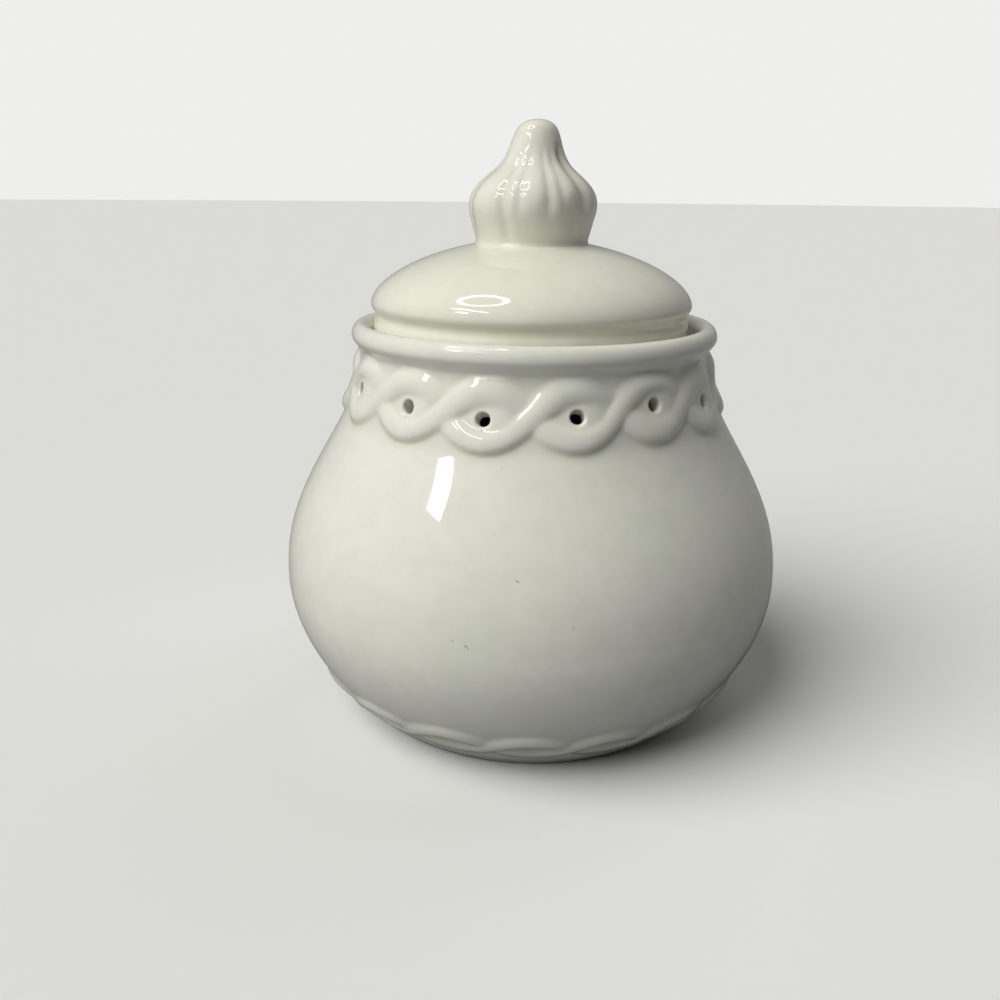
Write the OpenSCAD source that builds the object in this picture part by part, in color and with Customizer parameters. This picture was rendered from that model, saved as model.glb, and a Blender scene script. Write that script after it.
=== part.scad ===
// Lidded ceramic jar for storing garlic: pear-shaped body with a ring of vents
// between the strands of a raised rope, and a domed lid with a garlic-bulb knob.
// Origin: centre of the foot, on the table. +Z is up. Millimetres.

/* [Jar] */
// Radius of the jar at its widest
belly_r = 75; // [66:0.5:90]
// Height of the widest part above the table
belly_z = 42; // [34:0.5:50]
// Radius of the foot where it meets the table
foot_r = 51; // [44:0.5:58]
// Radius of the neck, below the lip
neck_r = 51; // [46:0.5:56]
// Height of the neck above the table
neck_z = 109; // [98:0.5:125]
// Fullness of the low wall: 2 is an ellipse
foot_power = 1.85; // [1.6:0.05:2.2]
// Fullness of the shoulder between belly and neck
shoulder_power = 1.17; // [1:0.01:1.4]
// Thickness of the jar's wall
wall = 5; // [4:0.1:7]
// Thickness of the jar's floor
floor_t = 6; // [4:0.1:9]
// Width of the dry ring that the jar stands on
foot_ring_w = 7; // [4:0.1:10]
// Depth of the hollow inside the foot ring
foot_hollow = 1.2; // [0.6:0.1:2]

/* [Lip and seat] */
// How far the rolled lip stands out past the neck
lip_out = 2.3; // [1:0.1:5]
// Height of the lip's widest part above the neck
lip_rise = 4.7; // [3:0.1:8]
// Radial thickness of the lip
lip_w = 5.6; // [4.6:0.1:7]
// Height of the rounded top of the lip above its widest part
lip_crown = 3.5; // [2:0.1:5]
// Depth of the seat below the lip's widest part
seat_drop = 2.7; // [1:0.1:3.4]
// Width of the ledge that carries the lid
seat_w = 4.1; // [3:0.1:6]
// Height of the ledge's cylindrical face
ledge_t = 2; // [1:0.1:4]

/* [Vents] */
// Number of vents round the shoulder
vent_count = 15; // [8:1:18]
// Radius of a vent
vent_r = 1.8; // [1:0.1:2.4]
// Width of the softened rim round a vent
vent_rim_w = 0.7; // [0.2:0.1:1]
// Depth of the softened rim of a vent
vent_rim_t = 1; // [0.5:0.1:2]
// Turn of the vents about the jar's axis, in degrees
vent_turn = 9.6; // [0:0.1:24]

/* [Ropes] */
// Half width of a strand of the shoulder rope
strand_w = 3.4; // [2.4:0.1:3.5]
// Height of the shoulder rope's strands above the wall
strand_h = 2; // [1:0.1:3]
// Gap between a vent and the strands above and below it
eye_gap = 0.3; // [0.1:0.1:1]
// Bare wall between the neck and the top of the shoulder rope
rope_drop = 0.3; // [0:0.1:4]
// Number of turns in the rope round the foot
foot_turns = 18; // [12:2:24]
// Turn of the foot rope about the jar's axis, in degrees
foot_turn = -1.3; // [-10:0.1:10]
// Half width of a strand of the foot rope
foot_strand_w = 2.8; // [2:0.1:3.4]
// Height of the foot rope's strands above the wall
foot_strand_h = 1.1; // [0.8:0.1:2.2]
// Gap between the strands in the middle of a foot rope's eye
foot_eye = 2; // [1:0.1:4]
// Bare wall between the table and the foot rope
foot_rope_lift = 4.4; // [2:0.1:8]
// How far the ropes are rooted in the wall
rope_root = 1; // [0.5:0.1:2]

/* [Lid] */
// Radial play between the lid's rim and the jar's mouth
lid_play = 1.9; // [0.6:0.1:2.4]
// Gap left where the loose lid sits nearest to the mouth's wall
lid_gap = 1; // [0.3:0.1:1.2]
// Thickness of the lid's rim
rim_w = 4; // [3:0.1:5]
// Height of the lid's widest part above the top of the lip
edge_rise = 5.1; // [4.4:0.1:12]
// How far the lid's edge stands out past its rim
edge_out = 0.7; // [0:0.1:2]
// Depth of the groove under the lid's edge
groove_in = 1.4; // [0:0.1:2]
// Height of the lid's widest part above that groove
groove_drop = 2.4; // [1:0.1:4]
// Height over which the rim runs out into the groove
rim_fade = 2.4; // [1:0.1:4]
// Bevel round the foot of the rim
rim_bevel = 0.8; // [0.3:0.1:1.5]
// Height of the dome above the lid's widest part
dome_h = 18.3; // [10:0.1:26]
// Thickness of the dome at its top
dome_t = 4.5; // [3:0.1:7]
// Fullness of the dome: 2 is an ellipse
dome_power = 1.76; // [1.5:0.01:2.4]

/* [Garlic knob] */
// Radius of the bulb where it sits on the lid
knob_base_r = 15.9; // [12:0.1:20]
// Radius of the bulb at its widest
bulb_r = 18.6; // [14:0.1:24]
// Height of the bulb's widest part above its base
bulb_z = 9.2; // [6:0.1:14]
// Radius of the stem below its rounded tip
stem_r = 6.7; // [4:0.1:9]
// Height of the stem's rounded tip
stem_tip = 5.5; // [3:0.1:8]
// How far the tip leans to one side
stem_lean = 1.2; // [0:0.1:3]
// Height of the knob above its base
knob_h = 33.2; // [28:0.1:44]
// Depth of the grooves between the cloves
clove_depth = 1.2; // [0:0.1:3]

/* [Hidden] */

$fn = 96;
glaze = [0.9, 0.91, 0.84];
glaze_warm = [0.93, 0.93, 0.87];
glaze_shade = [0.85, 0.86, 0.79];

// the jar's outer wall: a near-ellipse below the belly, a cosine shoulder above it
low_span = belly_z / pow(1 - pow(foot_r / belly_r, foot_power), 1 / foot_power);
function shoulder_at(z) = pow((z - belly_z) / (neck_z - belly_z), shoulder_power);
function wall_r(z) = z < belly_z
    ? belly_r * pow(1 - pow(max(0, belly_z - z) / low_span, foot_power), 1 / foot_power)
    : neck_r + (belly_r - neck_r) * pow(cos(90 * min(1, shoulder_at(z))), 2);

// point at height z on the outer wall, moved out along the wall's normal by h
slope_step = 0.05;
function wall_slope(z) = (wall_r(z + slope_step) - wall_r(z - slope_step)) / (2 * slope_step);
function wall_point(z, h) = let (s = wall_slope(z), n = sqrt(1 + s * s))
    [wall_r(z) + h / n, z - h * s / n];

// ropes: each shoulder eye is as tall as a vent and its two gaps
strand_swing = vent_r + eye_gap + strand_w;
vent_z = neck_z - rope_drop - strand_w - strand_swing;
foot_swing = foot_eye / 2 + foot_strand_w;
foot_rope_z = foot_rope_lift + foot_strand_w + foot_swing;

// lip, mouth and seat
lip_r = neck_r + lip_out;
lip_z = neck_z + lip_rise;
lip_mid_r = lip_r - lip_w / 2;
mouth_r = lip_r - lip_w;
seat_z = lip_z - seat_drop;
seat_r = mouth_r - seat_w;
crest_z = lip_z + lip_crown;

// lid, from the seat upwards
rim_r = mouth_r - lid_play;
rim_in_r = rim_r - rim_w;
edge_r = rim_r + edge_out;
edge_z = crest_z + edge_rise;
groove_z = edge_z - groove_drop;
rim_top_z = groove_z - rim_fade;
lid_shift = lid_play - lid_gap;
dome_in_h = dome_h + edge_z - rim_top_z - dome_t;
function dome_z(r, span, rise) = rise * pow(1 - pow(min(1, r / span), dome_power), 1 / dome_power);
knob_z = edge_z + dome_z(knob_base_r, edge_r, dome_h);

// half-cosine step from a to b as t goes from 0 to 1
function ease(a, b, t) = a + (b - a) * (1 - cos(180 * t)) / 2;
// every whole fraction i / n for i from first to n
function steps(n, first = 0) = [for (i = [first : n]) i / n];

// straight steps in each curve of the profile
low_n = 9;
high_n = 14;
inner_n = 16;
outer_low = [for (t = steps(low_n)) [wall_r(belly_z * t), belly_z * t]];
outer_high = [for (t = steps(high_n, 1)) let (z = belly_z + (neck_z - belly_z) * t) [wall_r(z), z]];
lip_under = [for (t = steps(4, 1)) [ease(neck_r, lip_r, t), neck_z + lip_rise * t]];
lip_top = [for (a = [20 : 20 : 180]) [lip_mid_r + lip_w / 2 * cos(a), lip_z + lip_crown * sin(a)]];

// the inside: mouth, ledge, and the wall's inner face down to a rounded floor corner
ledge_z = seat_z - ledge_t;
inner_top = ledge_z - seat_w;
floor_corner = 1.6;
foot_bevel = 1;
inner_low = floor_t + wall;
inner_wall = [for (t = steps(inner_n)) wall_point(inner_top + (inner_low - inner_top) * t, -wall)];
floor_corner_r = inner_wall[inner_n][0] - floor_corner * wall;

module jar_profile() {
    polygon(concat(
        [[foot_r - foot_ring_w, foot_hollow], [foot_r - foot_ring_w + foot_bevel, 0]],
        outer_low, outer_high, lip_under, lip_top,
        [[mouth_r, seat_z], [seat_r, seat_z], [seat_r, ledge_z]],
        inner_wall,
        [[floor_corner_r, floor_t], [0, floor_t], [0, foot_hollow]]));
}

module at_vents() {
    for (i = [0 : vent_count - 1])
        rotate([0, 0, vent_turn - 90 + i * 360 / vent_count])
            translate([0, 0, vent_z]) rotate([0, 90, 0]) children();
}

module jar() {
    vent_wall_r = wall_r(vent_z);
    color(glaze) difference() {
        rotate_extrude() jar_profile();
        at_vents() translate([0, 0, vent_wall_r - 2 * wall]) cylinder(r = vent_r, h = 4 * wall);
        at_vents() translate([0, 0, vent_wall_r - vent_rim_t])
            cylinder(r1 = vent_r, r2 = vent_r + 2 * vent_rim_w, h = 2 * vent_rim_t);
    }
}

// One strand of a two-strand rope laid on the wall. It runs from t = 0, below
// one eye, to t = 1, above the next, and both ends dive under its neighbours.
arc_n = 6;
station_n = 16;
dive = 0.42;
function past_end(t) = max(0, -t, t - 1);
function strand_height(t) = max(0, 1 - pow(past_end(t) / dive, 2));
function strand_ring(t, turns, mid_z, swing, w, h) =
    let (z = mid_z - swing * cos(180 * t),
         arc = 2 * PI * wall_r(mid_z) / turns,
         lean = atan(swing * PI * sin(180 * t) / arc),
         az = 360 * t / turns,
         top = h * strand_height(t))
    [for (k = [0 : arc_n + 2])
        let (q = k <= arc_n ? -w * cos(180 * k / arc_n) : (k == arc_n + 1 ? w : -w),
             rise = k <= arc_n ? top * sin(180 * k / arc_n) : -rope_root,
             p = wall_point(z + q * cos(lean), rise),
             a = az - asin(q * sin(lean) / p[0]) - 90)
        [p[0] * cos(a), p[0] * sin(a), p[1]]];

module strand(turns, mid_z, swing, w, h) {
    ring = arc_n + 3;
    points = [for (s = steps(station_n))
        each strand_ring(s * (1 + 2 * dive) - dive, turns, mid_z, swing, w, h)];
    sides = [for (s = [0 : station_n - 1], k = [0 : ring - 1])
        let (a = s * ring + k, b = s * ring + (k + 1) % ring)
        each [[a, b, b + ring], [a, b + ring, a + ring]]];
    start = [for (k = [ring - 1 : -1 : 0]) k];
    end = [for (k = [0 : ring - 1]) station_n * ring + k];
    polyhedron(points, concat(sides, [start, end]));
}

module rope(turns, turn, mid_z, swing, w, h) {
    for (i = [0 : turns - 1])
        rotate([0, 0, turn + i * 360 / turns]) strand(turns, mid_z, swing, w, h);
}

module shoulder_rope() {
    color(glaze_warm) rope(vent_count, vent_turn, vent_z, strand_swing, strand_w, strand_h);
}

module foot_rope() {
    color(glaze_shade) rope(foot_turns, foot_turn, foot_rope_z, foot_swing, foot_strand_w, foot_strand_h);
}

module lid_profile() {
    edge_under = [for (t = steps(4, 1)) [ease(edge_r - groove_in, edge_r, t), ease(groove_z, edge_z, t)]];
    dome_out = [for (a = [6 : 6 : 84]) let (r = edge_r * pow(cos(a), 2 / dome_power))
        if (r > knob_base_r) [r, edge_z + dome_h * pow(sin(a), 2 / dome_power)]];
    dome_in = [for (a = [90 : -6 : 0])
        [rim_in_r * pow(cos(a), 2 / dome_power), rim_top_z + dome_in_h * pow(sin(a), 2 / dome_power)]];
    polygon(concat(
        [[rim_in_r, seat_z], [rim_r - rim_bevel, seat_z], [rim_r, seat_z + rim_bevel], [rim_r, rim_top_z]],
        [for (t = steps(4, 1)) [ease(rim_r, edge_r - groove_in, t), ease(rim_top_z, groove_z, t)]],
        edge_under, dome_out,
        [[knob_base_r, knob_z], [0, knob_z]],
        dome_in));
}

module lid() {
    color(glaze_warm) translate([-lid_shift, 0, 0]) rotate_extrude() lid_profile();
}

// Garlic bulb: rings of points whose radius dips at each groove between cloves.
// Azimuths of the grooves, chosen by eye from the visible side and carried round.
grooves = [-122, -92, -62, -32, -3, 14, 41, 70, 101, 131, 160, 188, 214];
lobe_n = 6;
clove_power = 0.7;
function groove_at(i) = i < len(grooves) ? grooves[i] : grooves[0] + 360;
knob_az = [for (i = [0 : len(grooves) - 1], k = [0 : lobe_n - 1])
    [groove_at(i) + (groove_at(i + 1) - groove_at(i)) * k / lobe_n, sin(180 * k / lobe_n)]];

// rings of the knob, each [radius, height, depth of the grooves]
low_power = 1.3;
neck_power = 1.14;
base_share = 0.4;
stem_share = 0.2;
stem_z = knob_h - stem_tip;
knob_low = [for (t = steps(5)) [
    knob_base_r + (bulb_r - knob_base_r) * pow(sin(90 * t), low_power),
    bulb_z * t,
    clove_depth * (base_share + (1 - base_share) * t)]];
knob_mid = [for (t = steps(11, 1)) [
    stem_r + (bulb_r - stem_r) * pow(cos(90 * pow(t, neck_power)), 2),
    bulb_z + (stem_z - bulb_z) * t,
    clove_depth * (1 - (1 - stem_share) * t)]];
knob_tip = [for (a = [18 : 18 : 72]) [
    stem_r * cos(a), stem_z + stem_tip * sin(a), clove_depth * stem_share * cos(a)]];
knob_rings = concat(knob_low, knob_mid, knob_tip);

module garlic_knob() {
    n = len(knob_az);
    m = len(knob_rings);
    points = [for (ring = knob_rings, az = knob_az)
        let (r = ring[0] - ring[2] * (1 - pow(az[1], clove_power)), a = az[0] - 90)
        [r * cos(a) + stem_lean * pow(ring[1] / knob_h, 2), r * sin(a), ring[1]]];
    sides = [for (j = [0 : m - 2], i = [0 : n - 1])
        let (a = j * n + i, b = j * n + (i + 1) % n)
        each [[a, b + n, b], [a, a + n, b + n]]];
    cap = [for (i = [0 : n - 1]) [(m - 1) * n + i, m * n, (m - 1) * n + (i + 1) % n]];
    base = [for (i = [0 : n - 1]) i];
    color(glaze) translate([-lid_shift, 0, knob_z])
        polyhedron(concat(points, [[stem_lean, 0, knob_h]]), concat(sides, cap, [base]));
}

jar();
shoulder_rope();
foot_rope();
lid();
garlic_knob();
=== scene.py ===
"""The looks of the garlic keeper: cream-white glaze over a jar with rope relief, its lid and its knob."""
import math

import bpy
import numpy as np
from mathutils import Matrix, Vector


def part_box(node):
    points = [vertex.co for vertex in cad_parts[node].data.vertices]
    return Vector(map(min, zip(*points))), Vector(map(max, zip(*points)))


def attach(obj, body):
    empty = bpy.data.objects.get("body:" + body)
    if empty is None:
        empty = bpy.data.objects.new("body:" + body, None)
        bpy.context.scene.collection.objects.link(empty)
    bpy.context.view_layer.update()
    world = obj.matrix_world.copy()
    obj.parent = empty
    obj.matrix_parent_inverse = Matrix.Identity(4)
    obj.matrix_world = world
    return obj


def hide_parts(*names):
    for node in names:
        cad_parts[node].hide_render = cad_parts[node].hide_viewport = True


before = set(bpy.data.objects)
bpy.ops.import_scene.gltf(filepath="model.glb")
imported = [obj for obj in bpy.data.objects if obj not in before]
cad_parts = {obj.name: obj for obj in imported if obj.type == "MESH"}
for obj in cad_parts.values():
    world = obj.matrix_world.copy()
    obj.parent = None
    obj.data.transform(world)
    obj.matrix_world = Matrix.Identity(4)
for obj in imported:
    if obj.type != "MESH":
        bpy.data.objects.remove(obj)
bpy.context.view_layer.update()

MM = 0.001


def mm_box(node):
    """Lowest and highest corner of a CAD node, in mm."""
    return [np.array(corner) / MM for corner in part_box(node)]


# ---------------------------------------------------------------- sizes, in mm, as the CAD part has them
JAR_TOP = mm_box("jar")[1]
LID_LOW, LID_HIGH = mm_box("lid")
KNOB_LOW, KNOB_HIGH = mm_box("garlic_knob")

# the jar
BELLY_R = JAR_TOP[0]
BELLY_Z = 42
FOOT_R = 51
FOOT_POWER = 1.85
NECK_R = 51
NECK_Z = 109
SHOULDER_POWER = 1.17
WALL = 5
FLOOR_T = 6
FOOT_RING_W = 7
FOOT_HOLLOW = 1.2

# its lip, the seat that carries the lid and the ledge under it
LIP_R = 53.3
LIP_W = 5.6
LIP_CROWN = 3.5
CREST_Z = JAR_TOP[2]
LIP_Z = CREST_Z - LIP_CROWN
MOUTH_R = LIP_R - LIP_W
SEAT_Z = LID_LOW[2]
SEAT_R = 43.6
SEAT_W = MOUTH_R - SEAT_R
LEDGE_T = 2
LEDGE_Z = SEAT_Z - LEDGE_T

# the vents and the two ropes; a strand swings this far up and down from the middle of its rope
VENTS = 15
VENT_R = 1.8
VENT_TURN = 9.6
STRAND_W = 3.4
STRAND_H = 2.0
EYE_GAP = 0.3
ROPE_DROP = 0.3
STRAND_SWING = VENT_R + EYE_GAP + STRAND_W
VENT_Z = NECK_Z - ROPE_DROP - STRAND_W - STRAND_SWING
FOOT_TURNS = 18
FOOT_TURN = -1.3
FOOT_STRAND_W = 2.8
FOOT_STRAND_H = 1.1
FOOT_EYE = 2
FOOT_ROPE_LIFT = 4.4
FOOT_SWING = FOOT_EYE / 2 + FOOT_STRAND_W
FOOT_ROPE_Z = FOOT_ROPE_LIFT + FOOT_STRAND_W + FOOT_SWING

# the lid, which lies a little to one side of the jar's axis
LID_X = (LID_LOW[0] + LID_HIGH[0]) / 2
EDGE_R = (LID_HIGH[0] - LID_LOW[0]) / 2
EDGE_OUT = 0.7
EDGE_RISE = 5.1
RIM_W = 4
GROOVE_IN = 1.4
GROOVE_DROP = 2.4
RIM_FADE = 2.4
RIM_R = EDGE_R - EDGE_OUT
RIM_IN_R = RIM_R - RIM_W
EDGE_Z = CREST_Z + EDGE_RISE
GROOVE_R = EDGE_R - GROOVE_IN
GROOVE_Z = EDGE_Z - GROOVE_DROP
RIM_TOP_Z = GROOVE_Z - RIM_FADE
DOME_H = 18.3
DOME_T = 4.5
DOME_POWER = 1.76

# the knob
KNOB_Z = KNOB_LOW[2]
KNOB_H = KNOB_HIGH[2] - KNOB_LOW[2]
KNOB_BASE_R = 15.9
BULB_R = 18.6
STEM_LEAN = 1.2


# ---------------------------------------------------------------- curves
def ease(a, b, t):
    """A half-cosine step from a to b as t goes from 0 to 1."""
    return a + (b - a) * (1 - np.cos(np.pi * t)) / 2


def rising(value, low, high):
    """0 up to low, 1 from high on, and a half-cosine step between them."""
    return ease(0, 1, np.clip((value - low) / (high - low), 0, 1))


def smooth_max(a, b, width):
    """The larger of a and b, with the crease between them filled over width, but not where both are 0."""
    larger = np.maximum(a, b)
    blend = np.clip(width - np.abs(a - b), 0, None) / width
    return larger + blend**2 * np.minimum(larger, width) / 4


def rounded(corners, step=0.6):
    """A smooth outline through corners given as (radius, height, rounding), in points about step apart."""
    line = []
    last = len(corners) - 1
    for i, (r, z, rounding) in enumerate(corners):
        here = np.array([r, z], float)
        if rounding == 0 or i in (0, last):
            line.append(here)
            continue
        back = np.array(corners[i - 1][:2], float) - here
        on = np.array(corners[i + 1][:2], float) - here
        a = here + back / np.linalg.norm(back) * min(rounding, np.linalg.norm(back) / 2)
        b = here + on / np.linalg.norm(on) * min(rounding, np.linalg.norm(on) / 2)
        for t in np.linspace(0, 1, 7):
            line.append((1 - t) ** 2 * a + 2 * t * (1 - t) * here + t * t * b)
    out = [line[0]]
    for point in line[1:]:
        start = out[-1]
        gap = np.linalg.norm(point - start)
        if gap < 1e-6:
            continue
        pieces = max(1, int(math.ceil(gap / step)))
        out += [start + (point - start) * k / pieces for k in range(1, pieces + 1)]
    return np.array(out)


def smooth_line(points, pieces, passes):
    """A Catmull-Rom curve through points, each stretch cut into pieces, and its small kinks then eased."""
    p = np.array(points, float)
    p = np.vstack([2 * p[0] - p[1], p, 2 * p[-1] - p[-2]])
    line = []
    for a, b, c, d in zip(p[:-3], p[1:-2], p[2:-1], p[3:]):
        for t in np.arange(pieces) / pieces:
            bend = 2 * a - 5 * b + 4 * c - d + t * (3 * (b - c) + d - a)
            line.append(b + 0.5 * t * (c - a + t * bend))
    line = np.array(line)
    for _ in range(passes):
        line[1:-1] = (line[:-2] + 2 * line[1:-1] + line[2:]) / 4
    return line


def blurred(field, cells_up, cells_round):
    """A height grid softened as glaze does, over so many cells up and round; it closes round the jar."""
    for axis, cells, edges in ((0, cells_up, "edge"), (1, cells_round, "wrap")):
        reach = int(3 * cells) + 1
        weights = np.exp(-0.5 * (np.arange(-reach, reach + 1) / cells) ** 2)
        weights /= weights.sum()
        pad = [(0, 0), (0, 0)]
        pad[axis] = (reach, reach)
        padded = np.pad(field, pad, mode=edges)
        places = np.arange(field.shape[axis])
        field = sum(w * np.take(padded, places + k, axis=axis) for k, w in enumerate(weights))
    return field


def spline_weights(t):
    """Weights of the four values about a place that lies t of the way from the second to the third."""
    return (
        -0.5 * t + t**2 - 0.5 * t**3,
        1 - 2.5 * t**2 + 1.5 * t**3,
        0.5 * t + 2 * t**2 - 1.5 * t**3,
        -0.5 * t**2 + 0.5 * t**3,
    )


def sample(grid, row, col):
    """Smooth value of a grid at fractional rows and columns; the columns close round the jar."""
    r0 = np.floor(row).astype(int)
    c0 = np.floor(col).astype(int)
    total = 0
    for i, up in enumerate(spline_weights(row - r0)):
        for j, across in enumerate(spline_weights(col - c0)):
            total = total + up * across * grid[r0 + i - 1, (c0 + j - 1) % grid.shape[1]]
    return total


# a slow unevenness is the sum of this many waves, with lobes that are counted on this length round the jar
WAVE_COUNT = 7
WAVE_GIRTH = 200


def waves(az, z, seed, size):
    """A slow unevenness between about -1 and 1, closed round the axis, with bumps about size mm across."""
    rng = np.random.default_rng(seed)
    total = np.zeros(np.broadcast(az, z).shape)
    for _ in range(WAVE_COUNT):
        lobes = rng.integers(1, max(2, int(WAVE_GIRTH / size)))
        up = rng.normal() * 2 * np.pi / (3 * size)
        total += np.cos(np.radians(az) * lobes + z * up + rng.uniform(0, 2 * np.pi))
    return total / (WAVE_COUNT / 2)


# ---------------------------------------------------------------- the jar's plain wall
LOW_SPAN = BELLY_Z / (1 - (FOOT_R / BELLY_R) ** FOOT_POWER) ** (1 / FOOT_POWER)
SLOPE_STEP = 0.05


def wall_r(z):
    """Radius of the smooth outer wall at height z."""
    z = np.asarray(z, float)
    drop = np.clip(BELLY_Z - z, 0, None) / LOW_SPAN
    low = BELLY_R * (1 - drop**FOOT_POWER) ** (1 / FOOT_POWER)
    rise = np.clip((z - BELLY_Z) / (NECK_Z - BELLY_Z), 0, 1) ** SHOULDER_POWER
    high = NECK_R + (BELLY_R - NECK_R) * np.cos(np.pi / 2 * rise) ** 2
    return np.where(z < BELLY_Z, low, high)


def wall_point(z, lift):
    """Radius and height of the point that stands off the wall at height z by lift."""
    slope = (wall_r(z + SLOPE_STEP) - wall_r(z - SLOPE_STEP)) / (2 * SLOPE_STEP)
    length = np.sqrt(1 + slope**2)
    return wall_r(z) + lift / length, z - lift * slope / length


def wall_slant(z):
    """How many mm the wall runs for each mm of height, about height z."""
    return float(np.hypot(wall_r(z + 0.5) - wall_r(z - 0.5), 1))


def unevenness(az, z):
    """Hand-made unevenness of the wall, in mm: least at the foot and the neck."""
    calm = np.clip(np.minimum((z - 2) / 20, (NECK_Z + 2 - z) / 14), 0.15, 1)
    return calm * (0.12 * waves(az, z, seed=3, size=40) + 0.02 * waves(az, z, seed=8, size=16))


# ---------------------------------------------------------------- mesh building
class Shell:
    """Vertices and faces gathered ring by ring, with the painted crease shade and the bare clay at each
    vertex.
    """

    def __init__(self):
        self.points, self.pool, self.bare, self.faces = [], [], [], []
        self.count = 0

    def add(self, r, az, z, pool=0.0, bare=0.0):
        """Adds the points at radius r, azimuth az in degrees and height z, and returns their indices."""
        r, az, z, pool, bare = np.broadcast_arrays(r, az, z, pool, bare)
        a = np.radians(az)
        block = np.stack([r * np.sin(a), -r * np.cos(a), z], -1)
        self.points.append(block.reshape(-1, 3))
        self.pool.append(pool.reshape(-1))
        self.bare.append(bare.reshape(-1))
        start = self.count
        self.count += r.size
        return np.arange(start, self.count).reshape(r.shape)

    def join(self, low, high):
        """Faces between two closed rings, the first lower on the outside; one may have twice the points."""
        n = min(len(low), len(high))
        for j in range(n):
            k = (j + 1) % n
            if len(low) == len(high):
                self.faces.append((low[j], low[k], high[k], high[j]))
            elif len(low) > len(high):
                a, b, c = low[2 * j], low[2 * j + 1], low[2 * k]
                self.faces += [(a, b, high[j]), (b, high[k], high[j]), (b, c, high[k])]
            else:
                a, b, c = high[2 * j], high[2 * j + 1], high[2 * k]
                self.faces += [(low[j], b, a), (low[j], low[k], b), (low[k], c, b)]

    def rows(self, rings):
        """Faces between each ring and the next."""
        for low, high in zip(rings[:-1], rings[1:]):
            self.join(low, high)

    def fan(self, ring, tip, up):
        """Closes a small ring with triangles that meet at the point tip, and face up or down."""
        for j in range(len(ring)):
            k = (j + 1) % len(ring)
            self.faces.append((ring[j], ring[k], tip) if up else (ring[k], ring[j], tip))

    def cap(self, ring, height, up):
        """Closes a small ring about the axis at that height."""
        centre = self.add(np.zeros(1), 0, height)[0]
        self.fan(ring, centre, up)

    def object(self, name, shift=(0, 0, 0)):
        """The smooth-shaded object of all that was gathered, moved by shift."""
        mesh = bpy.data.meshes.new(name)
        points = (np.concatenate(self.points) + np.array(shift)) * MM
        mesh.from_pydata(points.tolist(), [], [tuple(int(i) for i in face) for face in self.faces])
        # the painted crease shade and the bare clay, for the glaze to read
        for label, blocks in (("pool", self.pool), ("bare", self.bare)):
            layer = mesh.attributes.new(label, "FLOAT", "POINT")
            layer.data.foreach_set("value", np.concatenate(blocks).astype(np.float32))
        mesh.polygons.foreach_set("use_smooth", [True] * len(mesh.polygons))
        mesh.update()
        return add_object(name, mesh)


def add_object(name, data):
    """A new object in the scene that holds a mesh, a lamp or a camera."""
    obj = bpy.data.objects.new(name, data)
    bpy.context.scene.collection.objects.link(obj)
    return obj


# ---------------------------------------------------------------- the ropes' relief
# the grid of the jar's wall: columns round it, and rows at the shoulder rope and the foot rope
VENT_COLS = 50
COLS = VENTS * VENT_COLS
FINE_AZ = VENT_TURN + np.arange(COLS) * 360 / COLS
COARSE_AZ = FINE_AZ[::2]
ROW = 0.42
SHOULDER_ROWS = VENT_Z + np.arange(-33, 23) * ROW
FOOT_ROWS = np.arange(0.8, 24, 0.4)

# places along a strand, in turns of the rope: 0 is below one eye, 1 above the next
STRAND_LINE = np.arange(-0.9, 1.75, 0.02)
# how far past those two places the strand takes to sink into the wall
SINK_BEFORE = 0.85
SINK_AFTER = 0.6
# its upper side runs out this much wider than its lower side
SOFT_WIDTH = 1.5
SOFT_POWER = 1.2

# the band that the shoulder rope lies on: its height and half width
BAND_H = 0.85
BAND_HALF_W = 6.4
# the clay squeezed into each eye: its height, its climb to the right, its middle and its half sizes
EYE_FILL = 1.45
EYE_CLIMB = 0.07
EYE_X = 0.8
EYE_Y = -0.3
EYE_HALF_W = 8.2
EYE_HALF_H = 5.4

# the foot was trimmed after the rope was laid on: heights between which the rope's lower loops fade in,
# and the plain band under them, with the heights between which it fades out
FOOT_TRIM = (3.5, 10)
FOOT_BAND = 0.7
FOOT_BAND_FADE = (5, 12)

# the difference from the softened relief at which the painted shade in a crease is at its darkest
CREASE_SHADE_DEPTH = 0.35


def strand_relief(x, y, arc, swing, half_w, height, crisp):
    """Height of one strand over the flat wall's points x, y; it climbs from (0, -swing) to (arc, swing).

    Its lower right side is crisp, where it lies over the next strand. Its upper left side runs out softly
    and a little wider.
    """
    line_x = arc * STRAND_LINE
    line_y = -swing * np.cos(np.pi * STRAND_LINE)
    near = np.argmin((x[..., None] - line_x) ** 2 + (y[..., None] - line_y) ** 2, axis=-1)
    t = STRAND_LINE[near]
    run = np.pi * swing * np.sin(np.pi * t)
    length = np.hypot(arc, run)
    off_x = x - line_x[near]
    off_y = y - line_y[near]
    off = (off_x * run - off_y * arc) / length
    t = t + (off_x * arc + off_y * run) / length**2
    top = height * np.clip(1 - (np.clip(-t, 0, None) / SINK_BEFORE) ** 2, 0, 1)
    top = top * np.clip(1 - (np.clip(t - 1, 0, None) / SINK_AFTER) ** 2, 0, 1)
    lower_side = np.clip(1 - (off / half_w) ** 2, 0, 1) ** crisp
    upper_side = np.clip(1 - (off / (SOFT_WIDTH * half_w)) ** 2, 0, 1) ** SOFT_POWER
    return top * np.where(off > 0, lower_side, upper_side)


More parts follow.
